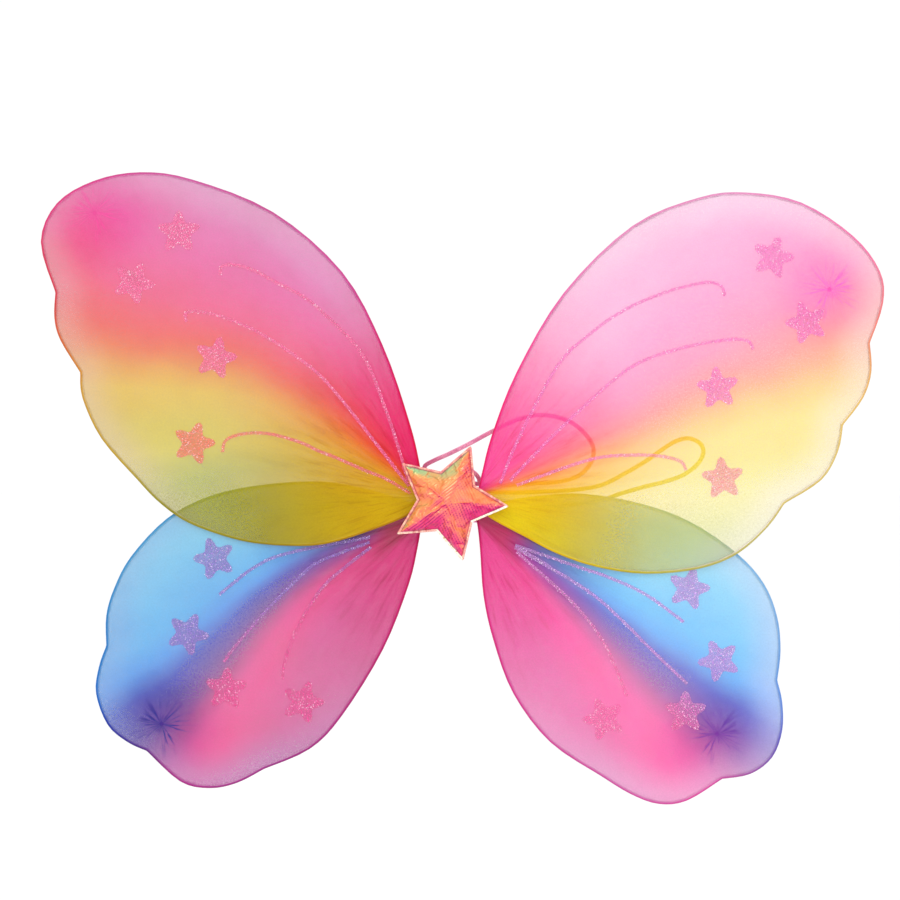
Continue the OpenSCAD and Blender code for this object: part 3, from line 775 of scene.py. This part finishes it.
def glitter_flakes(wing, material):
    """Loose hexagonal flakes over the glued stars and lines of one wing."""
    rng = np.random.default_rng(101 + WINGS.index(wing))
    mesh = NODES[wing.name + "_glitter"].data
    co = np.array([v.co for v in mesh.vertices])
    front = co[:, 1].min()
    mesh.calc_loop_triangles()
    tris = np.array([t.vertices for t in mesh.loop_triangles])
    tris = tris[np.all(np.abs(co[tris][:, :, 1] - front) < 1e-6, axis=1)]
    a, b, c = co[tris[:, 0]], co[tris[:, 1]], co[tris[:, 2]]
    area = 0.5 * np.linalg.norm(np.cross(b - a, c - a), axis=1)
    count = int(area.sum() / MM ** 2 * FLAKES_PER_MM2)
    pick = rng.choice(len(tris), count, p=area / area.sum())
    u, v = rng.random((2, count, 1))
    u, v = np.where(u + v > 1, 1 - u, u), np.where(u + v > 1, 1 - v, v)
    centres = a[pick] + u * (b - a)[pick] + v * (c - a)[pick]
    centres[:, [0, 2]] += rng.normal(0, 0.22 * MM, (count, 2))
    radius = rng.uniform(*FLAKE_RADIUS, count)
    tilt = rng.normal(0, 0.42, (count, 2))
    spin = rng.uniform(0, 2 * math.pi, count)
    lift = rng.uniform(0.08, 0.22, count) * MM
    corners = []
    for k in range(FLAKE_SIDES):
        turn = spin + 2 * math.pi * k / FLAKE_SIDES
        du, dv = radius * np.cos(turn), radius * np.sin(turn)
        corners.append(centres + np.stack([du, -lift + du * tilt[:, 0] + dv * tilt[:, 1], dv], 1))
    points = np.stack(corners, 1).reshape(-1, 3)
    points[:, 1] = np.minimum(points[:, 1], front - 0.02 * MM)
    faces = [tuple(i * FLAKE_SIDES + k for k in range(FLAKE_SIDES)) for i in range(count)]
    name = wing.name + "_glitter_flakes"
    flakes = mesh_from(name, points, faces)
    store_number(flakes, "flake", np.repeat(rng.random(count), FLAKE_SIDES))
    stand_in(name, flakes, material, wing.body, "glitter")
    flakes.shade_flat()


def grey(value):
    """A neutral colour."""
    return (value, value, value)


def flake_material(wing):
    """Coloured flakes, with a painted white glint here and there."""
    s = Shader(wing.name + "_flakes")
    pick = s.stored("flake")
    shade = s.ramp(pick, [(0.0, grey(0.62)), (0.4, grey(0.95)), (0.8, grey(1.0))])
    colour = s.mix(1.0, glitter_tone(s, wing), shade, "MULTIPLY")
    # Painted glints: a share of the flakes are coloured near-white.
    colour = s.mix(s.fade(pick, 0.72, 0.93), colour, (1.0, 0.88, 0.96, 1))
    s.set(Base_Color=colour, Metallic=0.35, Roughness=0.28)
    return s.material


def glue_material(wing):
    """Clear tinted glue that holds the flakes, grainy with fine glitter dust, whose brightest specks are painted
    white glints.
    """
    s = Shader(wing.name + "_glue")
    dust_and_glints = s.noise(s.object_coords(), 1500.0, 2.0, 0.7)
    patches = s.noise(s.object_coords(), 260.0, 2.0)
    cover = s.plus(s.times(dust_and_glints, 0.4), s.times(patches, 0.2))
    colour = s.mix(1.0, glitter_tone(s, wing), s.ramp(dust_and_glints, [(0.3, grey(0.8)), (0.6, grey(1.0))]), "MULTIPLY")
    # Painted glints: the dust's brightest specks are coloured near-white.
    colour = s.mix(s.fade(dust_and_glints, 0.6, 0.85), colour, (1.0, 0.9, 0.97, 1))
    s.set(Base_Color=colour, Alpha=cover, Roughness=0.35)
    s.bump(dust_and_glints, 0.12 * MM, 0.7)
    return s.material


for wing in WINGS:
    glitter_flakes(wing, flake_material(wing))
    dress(NODES[wing.name + "_glitter"], glue_material(wing))

# --- Materials of the small pieces ---


def simple_material(name, dark, light, roughness, metallic=0.0, grain=300.0, depth=0.05, sheen=0.0):
    """A surface with fine grain between two tones."""
    s = Shader(name)
    grains = s.noise(s.object_coords(), grain, 3.0, 0.6)
    s.set(Base_Color=s.ramp(grains, [(0.3, dark), (0.7, light)]), Roughness=roughness, Metallic=metallic,
          Sheen_Weight=sheen)
    s.bump(grains, depth * MM, 0.6)
    return s.material


def felt_material():
    """Pressed fibres in two tones with a soft nap."""
    s = Shader("felt")
    spot = s.object_coords()
    fibres = s.noise(spot, 1400.0, 5.0, 0.75)
    clouds = s.noise(spot, 180.0, 2.0)
    mixed = s.plus(s.times(fibres, 0.7), s.times(clouds, 0.3))
    tones = [(0.32, (0.55, 0.04, 0.22)), (0.52, (0.82, 0.12, 0.40)), (0.7, (0.95, 0.30, 0.55))]
    s.set(Base_Color=s.ramp(mixed, tones), Roughness=0.95, Sheen_Weight=0.6, Sheen_Roughness=0.5)
    s.bump(fibres, 0.25 * MM, 0.8)
    return s.material


def ribbon_material():
    """Satin ribbon: fine ribs along the band with a soft gloss."""
    s = Shader("ribbon")
    spot = s.object_coords()
    parts = s.separate(spot)
    ribs = s.math("SINE", s.times(parts[2], 2 * math.pi / (0.35 * MM)))
    shade = s.plus(s.noise(spot, 320.0, 3.0), s.times(ribs, 0.06))
    tones = [(0.3, (0.42, 0.02, 0.17)), (0.55, (0.64, 0.04, 0.28)), (0.8, (0.80, 0.10, 0.40))]
    s.set(Base_Color=s.ramp(shade, tones), Roughness=0.38, Sheen_Weight=0.3, Coat_Weight=0.15)
    s.bump(ribs, 0.05 * MM, 0.6)
    return s.material


def thread_material(name, dark, light):
    """Twisted thread: slanting plies with stray lighter fibres."""
    s = Shader(name)
    spot = s.object_coords()
    plies = s.wave(spot, 900.0, "DIAGONAL", 1.5)
    fuzz = s.noise(spot, 1800.0, 3.0, 0.7)
    tone = s.plus(s.times(plies, 0.6), s.times(fuzz, 0.4))
    s.set(Base_Color=s.ramp(tone, [(0.25, dark), (0.75, light)]), Roughness=0.7, Sheen_Weight=0.4)
    s.bump(tone, 0.10 * MM, 0.8)
    return s.material


def wire_material():
    """Drawn steel wire with light lengthways scratches and dull spots."""
    s = Shader("hoop_wire")
    spot = s.object_coords()
    spots = s.noise(spot, 220.0, 4.0, 0.6)
    scratches = s.noise(spot, 2400.0, 2.0)
    s.set(Base_Color=s.ramp(spots, [(0.3, (0.46, 0.40, 0.42)), (0.7, (0.66, 0.60, 0.62))]), Metallic=1.0,
          Roughness=s.math("MULTIPLY_ADD", spots, 0.25, 0.22))
    s.bump(scratches, 0.02 * MM, 0.5)
    return s.material


FELT = felt_material()
RIBBON = ribbon_material()
THREAD = thread_material("thread", (0.55, 0.05, 0.24), (0.90, 0.22, 0.50))
GLUE = simple_material("glue", (0.78, 0.72, 0.60), (0.93, 0.90, 0.82), 0.28, 0.0, 240.0, 0.25)
WIRE = wire_material()
TAPE = simple_material("tape", (0.07, 0.07, 0.08), (0.16, 0.16, 0.17), 0.55, 0.0, 500.0, 0.08)
WADDING = simple_material("wadding", (0.82, 0.82, 0.81), (0.96, 0.96, 0.95), 0.95, 0.0, 600.0, 0.4, 0.4)

# --- Padded star ---

STAR_RIM = 1.9 * MM
STAR_SPACING = 1.3 * MM
STAR_HEIGHT = 7.4 * MM
STAR_FLANK = 4.2 * MM
SWELL_CAP = 1.6 * MM
RIB_PITCH = 1.5 * MM
RIB_HEIGHT = 0.10 * MM


def dense_polygon(corners, spacing):
    """A polygon's outline with points added along its edges."""
    rows = []
    for a, b in zip(corners, np.roll(corners, -1, 0)):
        count = max(1, int(round(math.dist(a, b) / spacing)))
        rows += [a + (b - a) * k / count for k in range(count)]
    return np.array(rows)


def drawn_in(corners, distance):
    """A polygon's middle, and its corners drawn in towards it, by distance at the tips."""
    middle = corners.mean(0)
    reach = np.hypot(*(corners - middle).T).max()
    return middle, middle + (corners - middle) * (1 - distance / reach)


def applied(obj):
    """Keeps what the object's modifiers give and drops the modifiers."""
    depsgraph = bpy.context.evaluated_depsgraph_get()
    mesh = bpy.data.meshes.new_from_object(obj.evaluated_get(depsgraph))
    obj.modifiers.clear()
    obj.data = mesh


def swell(obj, pinned):
    """Inflates the star's film a little by cloth simulation, which puckers it at the weld."""
    group = obj.vertex_groups.new(name="pinned")
    group.add([int(i) for i in pinned], 1.0, "REPLACE")
    cloth = obj.modifiers.new("cloth", "CLOTH")
    cloth.settings.effector_weights.gravity = 0
    cloth.settings.use_pressure = True
    cloth.settings.uniform_pressure_force = 4
    cloth.settings.shrink_min = -0.10
    cloth.settings.mass = 0.05
    cloth.settings.bending_stiffness = 0.4
    cloth.settings.vertex_group_mass = "pinned"
    cloth.collision_settings.use_collision = False
    cloth.point_cache.frame_start, cloth.point_cache.frame_end = 1, 20
    before = np.array([v.co for v in obj.data.vertices])
    for moment in range(1, 21):
        bpy.context.scene.frame_set(moment)
    applied(obj)
    obj.vertex_groups.clear()
    bpy.context.scene.frame_set(1)
    move = np.array([v.co for v in obj.data.vertices]) - before
    reach = np.linalg.norm(move, axis=1)
    capped = before + move * np.minimum(1, SWELL_CAP / np.maximum(reach, 1e-9))[:, None]
    obj.data.vertices.foreach_set("co", capped.ravel())
    obj.data.update()


def star_cushion(corners, base, material):
    """The star's puffed film: ridged along each arm, ribbed, and flat where it meets the back."""
    middle, film = drawn_in(corners, STAR_RIM)
    edge = dense_polygon(film, STAR_SPACING)
    n = len(edge)
    grid = staggered_grid(edge.min(0), edge.max(0), STAR_SPACING)
    grid = grid[inside(inset_loop(edge, 0.5 * MM), grid)]
    plane, tris = triangulated(edge, grid[distance_to(edge, grid) > 0.6 * MM])
    total = len(plane)
    depth = distance_to(dense_polygon(film, 0.2 * MM), plane)
    height = STAR_HEIGHT * (1 - np.exp(-depth / STAR_FLANK))
    front = np.column_stack([plane[:, 0], base - 0.35 * MM - height, plane[:, 1]])
    back = np.column_stack([plane[:, 0], np.full(total, base - 0.05 * MM), plane[:, 1]])
    faces = [(a, b, c) for a, b, c in tris] + [(c + total, b + total, a + total) for a, b, c in tris]
    for i in range(n):
        j = (i + 1) % n
        faces.append((j, i, i + total, j + total))
    mesh = mesh_from("star_cushion", np.vstack([front, back]), faces)
    obj = new_object("star_cushion", joined_mesh("star_cushion", [mesh]), material)
    store_vector(obj.data, "form", [v.normal for v in obj.data.vertices])
    swell(obj, list(range(n)) + list(range(total, 2 * total)))
    smooth = obj.modifiers.new("smooth", "SUBSURF")
    smooth.levels = 2
    applied(obj)
    rib_film(obj, middle, base, dense_polygon(film, 0.4 * MM))
    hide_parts("star_front", "star_filling")
    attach(obj, "centre")


def rib_film(obj, middle, base, seam):
    """Presses the film's fine ribs into the puff and stores how each point faces, which the shader turns into
    painted iridescence and painted shade.
    """
    mesh = obj.data
    co = np.array([v.co for v in mesh.vertices])
    normal = np.array([v.normal for v in mesh.vertices])
    smooth_normal = normal.copy()
    raised = smoothstep(0.8 * MM, 2.5 * MM, base - co[:, 1])
    x, z = co[:, 0] - middle[0], co[:, 2] - middle[1]
    warp = 0.35 * MM * np.sin(x / (5 * MM)) * np.cos(z / (6 * MM))
    slant = math.radians(128)
    first = np.sin(2 * math.pi * (x * math.cos(slant) + z * math.sin(slant) + warp) / RIB_PITCH)
    slant = math.radians(25)
    second = np.sin(2 * math.pi * (x * math.cos(slant) + z * math.sin(slant) - warp) / (RIB_PITCH * 1.1))
    crossing = smoothstep(-4 * MM, 6 * MM, x - 0.5 * z)
    ribs = (first * (1 - 0.6 * crossing) + second * 0.8 * crossing) * raised
    co += normal * (ribs * RIB_HEIGHT)[:, None]
    mesh.vertices.foreach_set("co", co.ravel())
    mesh.update()
    form = np.zeros(3 * len(co), np.float32)
    mesh.attributes["form"].data.foreach_get("vector", form)
    ribbed = np.array([v.normal for v in mesh.vertices])
    # Painted light: facing turns the direction each point faces into the film's colour, lighter and greener up and
    # to the left, darker below; tip adds green at the upper-left tip.
    normal = 0.6 * form.reshape(-1, 3) + 0.25 * smooth_normal + 0.15 * ribbed
    size = np.hypot(x, z).max()
    reach = np.hypot(x, z) / size
    up = np.maximum(normal[:, 2], 0)
    facing = 0.47 + 0.45 * normal[:, 2] - 0.06 * normal[:, 0] + 0.03 * z / size - 0.30 * up * x / size
    facing += 0.30 * np.maximum(-normal[:, 0], 0) * smoothstep(-0.3, 0.3, z / size)
    facing += 0.16 * np.maximum(normal[:, 0], 0) * smoothstep(0.2, 0.5, -z / size)
    tip = smoothstep(0.62, 0.95, reach) * smoothstep(-0.2, 0.6, -x / (np.hypot(x, z) + 1e-9))
    store_vector(mesh, "film", np.column_stack([np.clip(facing, 0, 1), ribs, tip]))
    store_number(mesh, "seam", distance_to(seam, co[:, [0, 2]]))


def film_material():
    """Film with painted light: its iridescence is painted by which way it faces, green and gold up and left,
    through salmon to a magenta darkened as painted shade below.
    """
    s = Shader("star_film")
    film = s.stored_parts("film")
    spot = s.object_coords()
    drift = s.times(s.minus(s.noise(spot, 95.0, 4.0, 0.6), 0.5), 0.42)
    tint = s.plus(film[0], drift, clamp=True)
    tint = s.plus(tint, s.times(film[2], 0.12), clamp=True)
    colour = s.ramp(tint, [(0.0, (0.58, 0.0, 0.06)), (0.18, (0.76, 0.01, 0.17)), (0.32, (0.86, 0.08, 0.17)),
                           (0.44, (0.93, 0.19, 0.13)), (0.60, (0.93, 0.26, 0.09)), (0.76, (0.90, 0.36, 0.11)),
                           (0.90, (0.62, 0.50, 0.18)), (1.0, (0.36, 0.62, 0.26))])
    # Painted shade in the grooves between the ribs, most where the film is painted magenta.
    groove_shade = s.times(s.fade(film[1], -0.7, -0.1, 1.0, 0.0), s.fade(tint, 0.30, 0.60, 0.9, 0.08))
    groove_shade = s.times(groove_shade, s.fade(s.noise(spot, 420.0, 2.0), 0.36, 0.54, 0.25, 1.0))
    colour = s.mix(groove_shade, colour, (0.34, 0.0, 0.12, 1))
    # Painted shadow: a dark violet line along the seam where the film meets the rim.
    seam = s.fade(s.stored("seam"), 0.2 * MM, 1.1 * MM, 0.7, 0.0)
    colour = s.mix(seam, colour, (0.30, 0.03, 0.16, 1))
    s.set(Base_Color=colour, Metallic=0.45, Roughness=0.24, Coat_Weight=0.3, Coat_Roughness=0.12)
    s.bump(s.noise(spot, 700.0, 3.0), 0.05 * MM, 0.4)
    return s.material


def rim_material():
    """Welded rim: rosy foil, with a painted highlight of pale gold along the edges that face down, broken up by
    the crimp.
    """
    s = Shader("star_rim")
    spot = s.object_coords()
    crimp = s.noise(spot, 420.0, 3.0, 0.6)
    rosy = s.ramp(crimp, [(0.3, (0.60, 0.12, 0.18)), (0.5, (0.84, 0.30, 0.26)), (0.66, (0.95, 0.55, 0.40))])
    pale = s.ramp(crimp, [(0.36, (0.45, 0.26, 0.14)), (0.44, (0.98, 0.84, 0.62)), (0.6, (1.0, 0.97, 0.88))])
    s.set(Base_Color=s.mix(s.stored("down"), rosy, pale), Metallic=0.5, Roughness=0.25)
    s.bump(crimp, 0.12 * MM, 0.6)
    return s.material


def star_weld(corners, base, material):
    """The crimped bead welded round the star's edge."""
    path = dense_polygon(drawn_in(corners, 1.0 * MM)[1], 0.25 * MM)
    rng = np.random.default_rng(31)
    ripple = 0.10 * MM * np.sin(np.arange(len(path)) * 2 * math.pi / 6) + rng.normal(0, 0.03 * MM, len(path))
    points = np.column_stack([path[:, 0], base - 0.45 * MM - ripple, path[:, 1]])
    out = np.tile([0.0, -1.0, 0.0], (len(path), 1))
    mesh = sweep_mesh("star_weld", points, out, flat_profile(1.5 * MM, 0.8 * MM, 12, 0.8), closed=True)
    mesh = joined_mesh("star_weld", [mesh])
    # Painted highlight: the rim's edges that face down are marked for pale gold, which the shader paints.
    down = loop_ahead(path)[:, 0] * (1 if signed_area(path) > 0 else -1)
    painted_highlight = smoothstep(0.4, 0.6, down) * (1 - 0.7 * smoothstep(0.94, 0.99, down))
    store_number(mesh, "down", np.repeat(painted_highlight, len(mesh.vertices) // len(path)))
    stand_in("star_weld", mesh, material, "centre", "star_rim", "star_rim")


star_corners = outline_of("star_back")[:, [0, 2]]
star_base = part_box("star_back")[0][1]
star_cushion(star_corners, star_base, film_material())
star_weld(star_corners, star_base, rim_material())

# --- Centre, stems and knots ---


STITCHES = 26
KNOT_TONES = {
    "upper_right": ((0.90, 0.25, 0.55), (0.98, 0.45, 0.72)),
    "upper_left": ((0.90, 0.36, 0.55), (0.95, 0.48, 0.66)),
    "lower_right": ((0.22, 0.16, 0.56), (0.34, 0.30, 0.70)),
    "lower_left": ((0.10, 0.12, 0.45), (0.20, 0.22, 0.60)),
}
# Radius and height of the toe gather's rings, as shares of the whole
GATHER_RINGS = ((1.0, 0.0), (0.97, 0.35), (0.80, 0.72), (0.55, 0.62), (0.42, 0.80), (0.24, 1.0), (0.05, 0.92))


def felt_patch():
    """The felt patch, with a soft edge and running stitches."""
    low, high, middle = box_of("back_patch")
    half = (high - low) / 2
    angle = around(96)
    rows = []
    # Inset in millimetres and depth of each ring, from the front face round the edge to the back
    for inset, y in ((4.5, low[1]), (1.2, low[1]), (0.35, low[1] + 0.15 * MM), (0.05, low[1] + 0.6 * MM),
                     (0.05, high[1] - 0.6 * MM), (0.3, high[1] - 0.15 * MM), (1.0, high[1]), (4.5, high[1])):
        ring = superellipse(angle, half[0] - inset * MM, half[2] - inset * MM, 0.42)
        ring += 0.05 * MM * np.sin(angle * 23 + inset)[:, None] * np.stack([np.cos(angle), np.sin(angle)], 1)
        rows.append(np.column_stack([middle[0] + ring[:, 0], np.full(len(angle), y), middle[2] + ring[:, 1]]))
    stand_in("felt_patch", stacked_mesh("felt_patch", rows), FELT, "centre", "felt", "back_patch")
    stitches = []
    stitch = np.linspace(-0.28, 0.28, 9)
    rise = 0.16 * MM * np.cos(stitch * math.pi / 0.56) - 0.12 * MM
    for k in range(STITCHES):
        at = 2 * math.pi * (k + stitch) / STITCHES
        ring = superellipse(at, half[0] - 1.5 * MM, half[2] - 1.5 * MM, 0.5)
        path = np.column_stack([middle[0] + ring[:, 0], high[1] + rise, middle[2] + ring[:, 1]])
        stitches.append(sweep_mesh("stitch", path, np.tile([0.0, 1.0, 0.0], (len(stitch), 1)),
                                   flat_profile(0.42 * MM, 0.42 * MM, 8, 1.0)))
    stand_in("patch_stitches", joined_mesh("patch_stitches", stitches), THREAD, "centre", "thread")


def glue_blob():
    """Set glue squeezed out between the binding and the star's back."""
    low, high, middle = box_of("star_glue_pad")
    angle = around(64)
    rows = []
    for t in np.linspace(0, 1, 9):
        lumps = 0.035 * np.sin(3 * angle + 1 + 2 * t) + 0.02 * np.sin(7 * angle - 3 * t)
        r = (high[0] - low[0]) / 2 * (0.82 + 0.14 * math.cos(2 * math.pi * t) + lumps)
        y = np.full(64, low[1] + t * (high[1] - low[1]))
        rows.append(np.column_stack([middle[0] + r * np.cos(angle), y, middle[2] + r * np.sin(angle)]))
    stand_in("glue_blob", stacked_mesh("glue_blob", rows), GLUE, "centre", "glue", "star_glue_pad")


def binding(name, node, body, half_x, end_gap, pitch, corner):
    """Ribbon wound round one core, inside its node's box. Without half_x, the core is round."""
    low, high, middle = box_of(node)
    half = (high - low) / 2 - 0.2 * MM
    sides = (half_x, half[1]) if half_x else (half[0], half[0])
    mesh = wound_ribbon(name, middle, *sides, low[2] + end_gap, high[2] - end_gap, pitch, 0.30 * MM, corner)
    stand_in(name, joined_mesh(name, [mesh]), RIBBON, body, "ribbon", node)


def elastic_knots():
    """Overhand knots that keep the elastic's ends behind the binding."""
    for side in ("left", "right"):
        node = side + "_strap_knot"
        low, high, middle = box_of(node)
        t = around(120)
        path = middle + 0.235 * (high[0] - low[0]) / 2 * np.column_stack(
            [np.sin(t) + 2 * np.sin(2 * t), -1.2 * np.sin(3 * t), np.cos(t) - 2 * np.cos(2 * t)])
        profile = flat_profile(1.9 * MM, 1.5 * MM, 12, 0.8)
        mesh = sweep_mesh(node, path, path - middle + 1e-6, profile, closed=True)
        store_vector(mesh, "band", np.zeros((len(mesh.vertices), 3)))
        stand_in(side + "_elastic_knot", mesh, ELASTICS[side + "_strap"], "centre", "elastic", node)


def root_binding(wing):
    """Thread wound round the gathered root of a sock."""
    turns, thread = 6, 0.34 * MM
    t = np.linspace(0, 2 * math.pi * turns, 72 * turns)
    half_z = 4.4 * MM if wing.upper else 4.7 * MM
    middle_z = wing.pivot.z - (0 if wing.upper else 0.6 * MM)
    ring = superellipse(t, COVER_HALF + 0.25 * MM, half_z, 0.6)
    along = 14.1 * MM + 1.8 * MM * t / t[-1]
    path = wing.to_row(np.column_stack([along, middle_z + ring[:, 1]]), wing.y + ring[:, 0])
    out = wing.to_row(np.column_stack([along, middle_z + ring[:, 1] * 1.2]), wing.y + ring[:, 0] * 1.2) - path
    mesh = sweep_mesh("tie", path, out + 1e-7, flat_profile(thread, thread, 8, 1.0))
    stand_in(wing.name + "_thread_tie", joined_mesh("tie", [mesh]), THREAD, wing.body, "thread",
             wing.name + "_root_tie")


def toe_gather(wing):
    """The puckered knot that closes a sock's far end, on the back layer."""
    node = wing.name + "_toe_knot"
    low, high, middle = box_of(node)
    angle = around(72)
    rows = []
    for reach, rise in GATHER_RINGS:
        pucker = 1 + 0.10 * np.sin(9 * angle + reach * 2) * reach
        height = low[1] + (high[1] - low[1]) * np.clip(rise + 0.08 * np.sin(9 * angle) * reach, 0, 1)
        r = (high[0] - low[0]) / 2 * 0.6 * reach * pucker
        rows.append(np.column_stack([middle[0] + r * np.cos(angle), height, middle[2] + r * np.sin(angle)]))
    stand_in(wing.name + "_toe_gather", stacked_mesh(node, rows),
             thread_material(wing.name + "_knot", *KNOT_TONES[wing.name]), wing.body, wing.slot, node)


felt_patch()
glue_blob()
binding("centre_binding", "centre_wrap", "centre", 5.1 * MM, 2.0 * MM, 2.6 * MM, 0.62)
for side in ("left", "right"):
    binding(side + "_stem_binding", side + "_stem_wrap", side + "_side", None, 1.3 * MM, 1.9 * MM, 1.0)
elastic_knots()
for wing in WINGS:
    root_binding(wing)
for wing in WINGS:
    toe_gather(wing)

# --- Looks of the CAD pieces that stay ---

CAD_LOOKS = {
    "hoop_wire": WIRE, "thread": THREAD, "felt": FELT, "wadding": WADDING, "glue": GLUE, "tape": TAPE,
    "ribbon": RIBBON, "elastic": ELASTICS["left_strap"],
}
SLOT_OF = {row["node"]: row["material_slot"] for row in frame["record"]["subparts"]}
for node_name, node_obj in NODES.items():
    look = CAD_LOOKS.get(SLOT_OF[node_name])
    if look:
        dress(node_obj, look)
for node_name in ("star_back", "star_front", "star_rim"):
    foil = simple_material(node_name + "_foil", (0.85, 0.24, 0.22), (0.96, 0.50, 0.36), 0.25, 0.5, 160.0, 0.1)
    dress(NODES[node_name], foil)

# --- Stage ---

FLOOR_Z = -0.42


def build_stage():
    mesh = bpy.data.meshes.new("floor")
    bm = bmesh.new()
    bmesh.ops.create_circle(bm, cap_ends=True, segments=64, radius=30)
    bmesh.ops.translate(bm, verts=bm.verts, vec=(0, 0, FLOOR_Z))
    bm.to_mesh(mesh)
    bm.free()
    s = Shader("floor")
    s.set(Base_Color=(0.99, 0.99, 0.99, 1), Roughness=0.9)
    floor = new_object("floor", mesh, s.material)
    world = bpy.data.worlds.new("world")
    bpy.context.scene.world = world
    world.use_nodes = True
    background = world.node_tree.nodes["Background"]
    background.inputs["Color"].default_value = (1, 1, 1, 1)
    background.inputs["Strength"].default_value = 1.03


def area_light(name, place, target, size, power):
    data = bpy.data.lights.new(name, "AREA")
    data.size = size
    data.energy = power
    light = bpy.data.objects.new(name, data)
    light.location = place
    light.rotation_euler = (Vector(target) - Vector(place)).to_track_quat("-Z", "Y").to_euler()
    bpy.context.scene.collection.objects.link(light)


build_stage()
area_light("key", (-0.9, -1.6, 1.3), (0, 0, 0), 0.8, 9.0)
area_light("fill", (1.2, -1.4, 0.5), (0, 0, 0), 1.2, 4.0)
